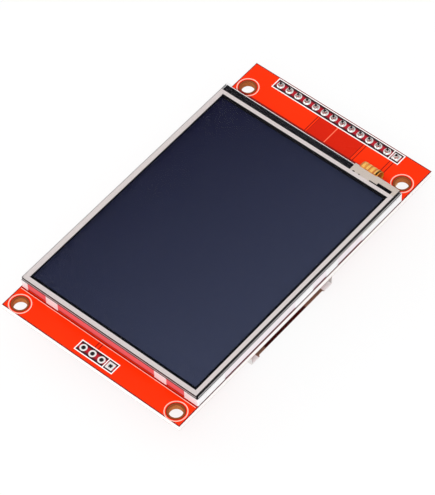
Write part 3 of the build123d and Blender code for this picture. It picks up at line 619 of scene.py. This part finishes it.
class DISPLAY_OT_board(bpy.types.Operator):
    """Lacquers the board and lays out the areas where its copper is missing"""

    bl_idname = "display.board"
    bl_label = "Board"

    def execute(self, context):
        sizes = context.scene.module_sizes
        colours = context.scene.module_colours
        clothe(lacquered_board(colours), "pcb")
        z0, z1 = FACE, FACE + sizes.mask_step
        y0 = PANEL_HIGH.y + sizes.hidden_strip
        y1 = HEADER_Y - sizes.header_frame / 2
        # Windows without copper, from the panel to the header. The copper's edges throw the light
        # away, which is painted as shade, and one of them catches it, painted as a highlight
        painted_edge_tones = {"painted_shade_copper_edges_and_panel": "#921A0E", "painted_highlight_copper_edge": "#FF7A5C"}
        for name, spans in (("mask_on_laminate", COPPER_WINDOWS), ("painted_shade_copper_edges_and_panel", SHADED_COPPER_EDGES),
                            ("painted_highlight_copper_edge", HIGHLIGHTED_COPPER_EDGES)):
            bm = bmesh.new()
            for left, right in spans:
                slab(bm, left * MM, y0, right * MM, y1, z0, z1)
            # The strip in the panel's shade is painted shade as well
            if name == "painted_shade_copper_edges_and_panel":
                left, right = SHADE_INSETS
                slab(bm, BOARD_LOW.x + left * MM, PANEL_HIGH.y, BOARD_HIGH.x - right * MM, y0, z0, z1)
            if name in painted_edge_tones:
                shade = linear(painted_edge_tones[name])
                finish = surface(name + "_lacquer", shade, shade, 1.0, rough=0.3, shine=0.06)
            else:
                finish = lacquered_laminate(colours)
            piece(name, bm, finish)
        step = sizes.bare_radius + sizes.step_width
        for name, inner, outer, finish in (
                ("bare_laminate", HOLE_R, sizes.bare_radius, surface(
                    "bare_glass_fibre", colours.bare, linear("#7E3A1E"), 0.5, rough=0.6, shine=0.1)),
                ("copper_step", sizes.bare_radius, step, surface(
                    "lacquer_over_step", linear("#4A0E08"), linear("#5C140C"), 1.0, shine=0.06))):
            bm = bmesh.new()
            for x in (-HOLE_X, HOLE_X):
                for y in (-HOLE_Y, HOLE_Y):
                    turn(bm, [(inner, z0), (outer, z0), (outer, z1), (inner, z1)], x, y, steps=64)
            piece(name, bm, finish)
        for name, finish, row_x, row_y, width in (
                ("mask_in_header_moats", "lacquer_between_pads", HEADER_X, HEADER_Y, sizes.header_frame),
                ("mask_in_card_row_moats", "lacquer_round_card_row", CARD_ROW_X, CARD_ROW_Y,
                 sizes.row_frame)):
            bm = bmesh.new()
            moats(bm, row_x, row_y, width / 2 - sizes.ink_line, sizes.bore_radius, z0, z1)
            piece(name, bm, lacquered_moat(colours, finish, row_y))
        # Traces from the card row to the panel, and a painted shadow along the panel's lower end
        bm = bmesh.new()
        y0 = PANEL_LOW.y - sizes.painted_panel_shadow
        for x in CARD_ROW_TRACES:
            slab(bm, x * MM - sizes.row_trace / 2, CARD_ROW_Y + sizes.row_frame / 2,
                 x * MM + sizes.row_trace / 2, y0, z0, z1)
        slab(bm, PANEL_LOW.x, y0, PANEL_HIGH.x, PANEL_LOW.y, z0, z1)
        piece("mask_traces_and_painted_panel_shadow", bm, surface(
            "deep_mask_and_painted_panel_shadow", linear("#A81C12"), linear("#98140E"), 2.0, rough=0.35, shine=0.06))
        return {"FINISHED"}


class DISPLAY_OT_ink(bpy.types.Operator):
    """Prints the white rings, frames and outlines on both faces of the board"""

    bl_idname = "display.ink"
    bl_label = "Printed Ink"

    def execute(self, context):
        sizes = context.scene.module_sizes
        colours = context.scene.module_colours
        ink = printed_ink("printed_epoxy_ink", colours.ink)
        thin_ink = printed_ink("thin_epoxy_ink", colours.ink_thin)
        line = sizes.ink_line
        # The rings are printed a little finer than the frames
        inner, outer = sizes.ring_radius - line * 0.45, sizes.ring_radius + line * 0.45
        for name, z0, z1 in (("ink_front", FACE, FACE + sizes.ink_height),
                             ("ink_back", BOARD_LOW.z - sizes.ink_height, BOARD_LOW.z)):
            bm = bmesh.new()
            for x in (-HOLE_X, HOLE_X):
                for y in (-HOLE_Y, HOLE_Y):
                    turn(bm, [(inner, z0), (outer, z0), (outer, z1), (inner, z1)], x, y, steps=72)
            # The lower rings reach past the board, and end there
            everything = bm.verts[:] + bm.edges[:] + bm.faces[:]
            bmesh.ops.bisect_plane(bm, geom=everything, plane_co=(0, BOARD_LOW.y, 0),
                                   plane_no=(0, -1, 0), clear_outer=True)
            bmesh.ops.holes_fill(bm, edges=[edge for edge in bm.edges if edge.is_boundary], sides=0)
            if name == "ink_front":
                corner = 0.3 * MM
                near, far = END_LINE
                slab(bm, PANEL_LOW.x + corner, PANEL_LOW.y - far * MM, PANEL_HIGH.x - corner,
                     PANEL_LOW.y - near * MM, z0, z1)
            piece(name + "_thin", bm, thin_ink)
            bm = bmesh.new()
            for row_x, row_y, width in ((HEADER_X, HEADER_Y, sizes.header_frame),
                                        (CARD_ROW_X, CARD_ROW_Y, sizes.row_frame)):
                half = width / 2
                reach = row_x[-1] + PITCH / 2 + line
                border(bm, -reach, row_y - half, reach, row_y + half, line, z0, z1)
                # The bar that sets the square land apart
                bar = row_x[-1] - PITCH / 2
                slab(bm, bar - line / 2, row_y - half + line, bar + line / 2, row_y + half - line, z0, z1)
            if name == "ink_back":
                for node, room in (("touch_controller_leads", 0.5), ("regulator_leads", 0.6),
                                   ("transistor_leads", 0.6)):
                    low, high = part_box(node)
                    border(bm, low.x - room * MM, low.y - room * MM, high.x + room * MM,
                           high.y + room * MM, sizes.chip_line, z0, z1)
            piece(name, bm, ink)
        return {"FINISHED"}


class DISPLAY_OT_plated_rows(bpy.types.Operator):
    """Tins both rows of plated holes and solders the header's pins"""

    bl_idname = "display.plated_rows"
    bl_label = "Plated Rows and Solder"

    def execute(self, context):
        sizes = context.scene.module_sizes
        bore = sizes.bore_radius
        tin = levelled_tin()
        for node, row_x, row_y in (("header_pads", HEADER_X, HEADER_Y),
                                   ("card_row_pads", CARD_ROW_X, CARD_ROW_Y)):
            bm = bmesh.new()
            for x in row_x:
                plated_hole(bm, x, row_y, bore, x == row_x[-1])
            made = piece("tinned_" + node, bm, tin, smooth=35)
            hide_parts(node)
        bm = bmesh.new()
        low = 2 * BOARD_LOW.z - (LAND_TOP - FACE)
        top = SOLDER_HIGH.z
        rise = top - LAND_TOP
        foot = LAND_R - sizes.solder_margin
        waist = sizes.solder_waist
        section = [(0, low), (bore, low), (bore, LAND_TOP), (foot, LAND_TOP)]
        steps = 7
        for i in range(1, steps + 1):
            turned = i / steps * math.pi / 2
            section.append((foot - (foot - waist) * math.sin(turned),
                            LAND_TOP + rise * (1 - math.cos(turned))))
        section.append((0, top + 0.02 * MM))
        for x in HEADER_X:
            turn(bm, section, x, HEADER_Y)
        made = piece("solder_joints", bm, flowed_solder(), smooth=50)
        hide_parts("header_solder")
        return {"FINISHED"}


class DISPLAY_OT_header(bpy.types.Operator):
    """Finishes the pin header below the board"""

    bl_idname = "display.header"
    bl_label = "Pin Header"

    def execute(self, context):
        clothe(moulded_nylon("moulded_header_nylon"), "header_body")
        clothe(gold_pin_painted_dark_above(context.scene.module_colours), "header_pins")
        return {"FINISHED"}


class DISPLAY_OT_panel(bpy.types.Operator):
    """Finishes the display panel, from its frame and backlight to the polariser"""

    bl_idname = "display.panel"
    bl_label = "Display Panel"

    def execute(self, context):
        sizes = context.scene.module_sizes
        colours = context.scene.module_colours
        clothe(white_frame(), "panel_frame")
        clothe(surface("acrylic_foam_tape", linear("#E9E6DC"), linear("#DAD6C8"), 0.4, rough=0.7,
                       height_mm=0.01), "mounting_tapes")
        # Painted shadow in the gap under the frame, along the socket's side, clear of the frame's corners
        corner = 0.5 * MM
        bm = bmesh.new()
        slab(bm, PANEL_HIGH.x, PANEL_LOW.y + corner, PANEL_HIGH.x + SKIN, PANEL_HIGH.y - corner,
             FACE, PANEL_LOW.z + sizes.gap_shadow_height)
        piece("painted_gap_shadow", bm, surface(
            "painted_gap_shadow_finish", linear("#402830"), linear("#4A303A"), 0.6, rough=0.6, shine=0.1))
        clothe(surface("silvered_film", linear("#E8EAEE"), linear("#DADDE3"), 6.0, rough=0.1, metal=1.0),
               "reflector_sheet")
        clothe(surface("dotted_acrylic", linear("#E6ECEE"), linear("#F6FAFA"), 0.5, rough=0.15),
               "light_guide")
        clothe(surface("frosted_film", linear("#F0F0EE"), linear("#E4E4E2"), 0.2, rough=0.6),
               "diffuser_sheet")
        clothe(surface("ribbed_film", linear("#DCDDE4"), linear("#ECEDF2"), 0.3, rough=0.25,
                       stretch=(0.05, 1, 1)), "prism_sheet")
        clothe(surface("phosphor_lamp", linear("#F0E28A"), linear("#E6D468"), 0.3, rough=0.4),
               "backlight_leds")
        clothe(polyimide(colours), "backlight_flex", "main_flex", "touch_flex")
        clothe(black_tape("rim_tape_black"), "rim_tape")
        clothe(black_tape("driver_cover_black"), "driver_cover")
        clothe(masked_glass("cell_glass"), "rear_glass", "front_glass")
        clothe(surface("grey_polariser", linear("#2A2B30"), linear("#33343A"), 5.0, rough=0.2),
               "rear_polariser")
        clothe(polariser(colours), "front_polariser")
        clothe(surface("bare_silicon", linear("#5A5B63"), linear("#6C6D78"), 0.5, rough=0.12, metal=0.6),
               "driver_chip")
        return {"FINISHED"}


class DISPLAY_OT_touch(bpy.types.Operator):
    """Finishes the touch panel and lays the conductors on its tail"""

    bl_idname = "display.touch"
    bl_label = "Touch Panel"

    def execute(self, context):
        sizes = context.scene.module_sizes
        colours = context.scene.module_colours
        clothe(black_tape("touch_tape_black"), "touch_tape")
        clothe(clear_sheet("float_glass", 0.02), "touch_glass")
        clothe(silver_ink(colours), "touch_border")
        clothe(clear_sheet("hard_coated_polyester", 0.03), "touch_film")
        # The cut sides of glass and film; the header's end stays clear, with its tape behind it
        glass_low, glass_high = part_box("touch_glass")
        line = glass_low.z + sizes.dark_band
        ledge = glass_high.z - sizes.dark_ledge
        corner = 0.3 * MM
        # Dark bands at the glass's foot and top: painted shade, with the black tape and the film's edge
        dark = surface("black_tape_film_edge_and_painted_shade", linear("#08080A"), linear("#121114"), 0.4, rough=0.6, shine=0.1)
        for name, finish, bands, sides in (
                ("ground_sides", ground_glass(), ((line, ledge),),
                 (FILM_LOW.x - SKIN / 2, FILM_HIGH.x + SKIN / 2)),
                ("dark_side_bands_painted_shade", dark, ((glass_low.z, line), (ledge, FILM_HIGH.z)),
                 (FILM_HIGH.x + SKIN / 2,))):
            bm = bmesh.new()
            for z0, z1 in bands:
                for x in sides:
                    slab(bm, x - SKIN / 2, FILM_LOW.y + corner, x + SKIN / 2, FILM_HIGH.y - corner, z0, z1)
                slab(bm, FILM_LOW.x + corner, FILM_LOW.y - SKIN, FILM_HIGH.x - corner, FILM_LOW.y, z0, z1)
            piece(name, bm, finish)
        # Conductors: along the tail's top, round its bulge and back below the panel
        radius = (FLEX_HIGH.z - FLEX_LOW.z) / 2
        centre = Vector((0, FLEX_HIGH.y - radius, (FLEX_HIGH.z + FLEX_LOW.z) / 2))
        start_y = FILM_HIGH.y + 0.05 * MM
        ways = 4
        pitch = (FLEX_HIGH.x - FLEX_LOW.x) / (ways + 0.25)
        traces = bmesh.new()
        # A painted strip of shade runs along the tail near its side, the same way as the conductors
        painted_shade_strip = bmesh.new()
        runs = [(traces, (FLEX_LOW.x + FLEX_HIGH.x) / 2 + (i - (ways - 1) / 2) * pitch, sizes.trace_width)
                for i in range(ways)]
        runs.append((painted_shade_strip, FLEX_HIGH.x - sizes.tail_shade_side, sizes.tail_shade_width))
        for bm, middle, width in runs:
            x0, x1 = middle - width / 2, middle + width / 2
            z0 = FLEX_HIGH.z
            z1 = z0 + sizes.trace_height
            verts = [bm.verts.new((x, start_y, z)) for x, z in ((x0, z0), (x1, z0), (x1, z1), (x0, z1))]
            section = bm.faces.new(verts)
            run = bmesh.ops.extrude_face_region(bm, geom=[section])["geom"]
            ends = [g for g in run if isinstance(g, bmesh.types.BMVert)]
            bmesh.ops.translate(bm, vec=(0, centre.y - start_y, 0), verts=ends)
            cap = [g for g in run if isinstance(g, bmesh.types.BMFace)]
            bmesh.ops.spin(bm, geom=cap, cent=centre, axis=(1, 0, 0), angle=-math.pi, steps=20,
                           use_merge=False)
        piece("painted_shade_along_tail", painted_shade_strip, surface(
            "painted_tail_shade", linear("#140804"), linear("#1C0E06"), 0.4, rough=0.6, shine=0.1))
        piece("tail_conductors", traces, surface(
            "copper_under_polyimide", linear("#F2BE62"), linear("#E2A548"), 0.6, rough=0.3, metal=0.2,
            height_mm=0.004), smooth=40)
        return {"FINISHED"}


class DISPLAY_OT_socket(bpy.types.Operator):
    """Finishes the card socket on the back of the board"""

    bl_idname = "display.socket"
    bl_label = "Card Socket"

    def execute(self, context):
        clothe(moulded_nylon("moulded_socket_nylon", "#18181A"), "socket_base")
        clothe(rolled_steel(), "socket_shell")
        clothe(gold_flash(context.scene.module_colours), "socket_contacts", "socket_switches")
        return {"FINISHED"}


class DISPLAY_OT_chips(bpy.types.Operator):
    """Finishes the chips and small parts on the back of the board"""

    bl_idname = "display.chips"
    bl_label = "Chips and Small Parts"

    def execute(self, context):
        for node in ("touch_controller", "regulator", "backlight_transistor"):
            clothe(moulded_epoxy(node + "_epoxy"), node)
        clothe(levelled_tin(), "touch_controller_leads", "regulator_leads", "transistor_leads",
               "capacitor_ends", "resistor_ends")
        clothe(surface("barium_titanate", linear("#9C7A52"), linear("#8A6A45"), 0.4, rough=0.4),
               "capacitors")
        clothe(surface("glazed_alumina", linear("#17181A"), linear("#222326"), 0.5, rough=0.25),
               "resistors")
        return {"FINISHED"}


class DISPLAY_OT_stage(bpy.types.Operator):
    """Sets the floor, the soft light and the photograph's camera"""

    bl_idname = "display.stage"
    bl_label = "Stage"

    def execute(self, context):
        scene = context.scene
        scene.view_settings.view_transform = "Standard"
        # White paper that shows brighter than it lights the module
        made, tree, shader = new_material("floor_paper")
        rays = add(tree, "ShaderNodeLightPath").outputs
        seen = add(tree, "ShaderNodeMath", {0: rays["Is Camera Ray"], 1: rays["Is Glossy Ray"]},
                   operation="MAXIMUM")
        shown = add(tree, "ShaderNodeMath", {0: seen, 1: rays["Is Transmission Ray"]},
                    operation="MAXIMUM")
        share = add(tree, "ShaderNodeMath", {0: shown, 1: 0.86}, operation="MULTIPLY")
        glow = add(tree, "ShaderNodeEmission", {"Color": (1, 1, 1, 1), "Strength": 1.0})
        fill(tree, shader, {"Base Color": linear("#F6F6F6"), "Roughness": 0.9})
        mix = add(tree, "ShaderNodeMixShader", {0: share, 1: shader, 2: glow})
        fill(tree, tree.nodes["Material Output"], {"Surface": mix})
        bm = bmesh.new()
        verts = bmesh.ops.create_grid(bm, x_segments=1, y_segments=1, size=1.5)["verts"]
        bmesh.ops.translate(bm, vec=(0, 0, CAD_BOX[0][2]), verts=verts)
        mesh = bpy.data.meshes.new("floor")
        bm.to_mesh(mesh)
        bm.free()
        mesh.materials.append(made)
        floor = bpy.data.objects.new("floor", mesh)
        scene.collection.objects.link(floor)

        world = bpy.data.worlds.new("studio")
        scene.world = world
        world.use_nodes = True
        tree = world.node_tree
        rays = add(tree, "ShaderNodeLightPath").outputs
        direction = add(tree, "ShaderNodeSeparateXYZ", {
            "Vector": add(tree, "ShaderNodeTexCoord").outputs["Generated"]}).outputs
        dome = add(tree, "ShaderNodeMapRange", {
            "Value": direction["Z"], "From Min": 0.0, "From Max": 0.7, "To Min": 0.62, "To Max": 0.8})
        mirrored = add(tree, "ShaderNodeMapRange", {
            "Value": direction["Z"], "From Min": 0.05, "From Max": 0.6, "To Min": 0.22, "To Max": 1.0},
            interpolation_type="SMOOTHSTEP")
        glossy = add(tree, "ShaderNodeMix", {
            "Factor": rays["Is Glossy Ray"], "A": dome, "B": mirrored})
        clear = add(tree, "ShaderNodeMath", {
            0: rays["Is Camera Ray"], 1: rays["Is Transmission Ray"]}, operation="MAXIMUM")
        fill(tree, tree.nodes["Background"], {
            "Color": (1, 1, 1, 1),
            "Strength": add(tree, "ShaderNodeMix", {"Factor": clear, "A": glossy, "B": 1.0})})

        for name, at, size, power in (("softbox_key", (0.35, -0.45, 0.75), 0.5, 3.6),
                                      ("softbox_fill", (-0.75, -0.2, 0.55), 0.6, 1.6)):
            light = bpy.data.lights.new(name, "AREA")
            light.shape = "SQUARE"
            light.size = size
            light.energy = power
            lamp = bpy.data.objects.new(name, light)
            lamp.location = at
            lamp.rotation_euler = (-Vector(at)).to_track_quat("-Z", "Y").to_euler()
            scene.collection.objects.link(lamp)

        lens = bpy.data.cameras.new("view")
        lens.sensor_fit = "HORIZONTAL"
        lens.sensor_width = SENSOR_MM
        lens.lens = LENS_MM
        lens.clip_end = 10
        camera = bpy.data.objects.new("view", lens)
        back = -CAMERA_FORWARD.normalized()
        right = CAMERA_UP.cross(back).normalized()
        up = back.cross(right)
        turned = Matrix((right, up, back)).transposed().to_4x4()
        camera.matrix_world = Matrix.Translation(CAMERA_AT) @ turned
        scene.collection.objects.link(camera)
        scene.camera = camera
        return {"FINISHED"}


STEPS = (
    DISPLAY_OT_stage, DISPLAY_OT_board, DISPLAY_OT_ink, DISPLAY_OT_plated_rows, DISPLAY_OT_header,
    DISPLAY_OT_panel, DISPLAY_OT_touch, DISPLAY_OT_socket, DISPLAY_OT_chips,
)


class DISPLAY_PT_module(bpy.types.Panel):
    """Lists the module's pieces"""

    bl_label = "Display Module"
    bl_idname = "DISPLAY_PT_module"
    bl_space_type = "VIEW_3D"
    bl_region_type = "UI"
    bl_category = "Display"

    def draw(self, context):
        for step in STEPS:
            self.layout.operator(step.bl_idname)
        for group in (context.scene.module_sizes, context.scene.module_colours):
            for name in group.__annotations__:
                self.layout.prop(group, name)


CLASSES = (ModuleSizes, ModuleColours) + STEPS + (DISPLAY_PT_module,)


def register():
    for item in CLASSES:
        bpy.utils.register_class(item)
    bpy.types.Scene.module_sizes = bpy.props.PointerProperty(type=ModuleSizes)
    bpy.types.Scene.module_colours = bpy.props.PointerProperty(type=ModuleColours)


def unregister():
    del bpy.types.Scene.module_colours
    del bpy.types.Scene.module_sizes
    for item in reversed(CLASSES):
        bpy.utils.unregister_class(item)


def main():
    """Makes every piece in order."""
    register()
    for step in STEPS:
        group, name = step.bl_idname.split(".")
        getattr(getattr(bpy.ops, group), name)()


if __name__ == "__main__":
    main()
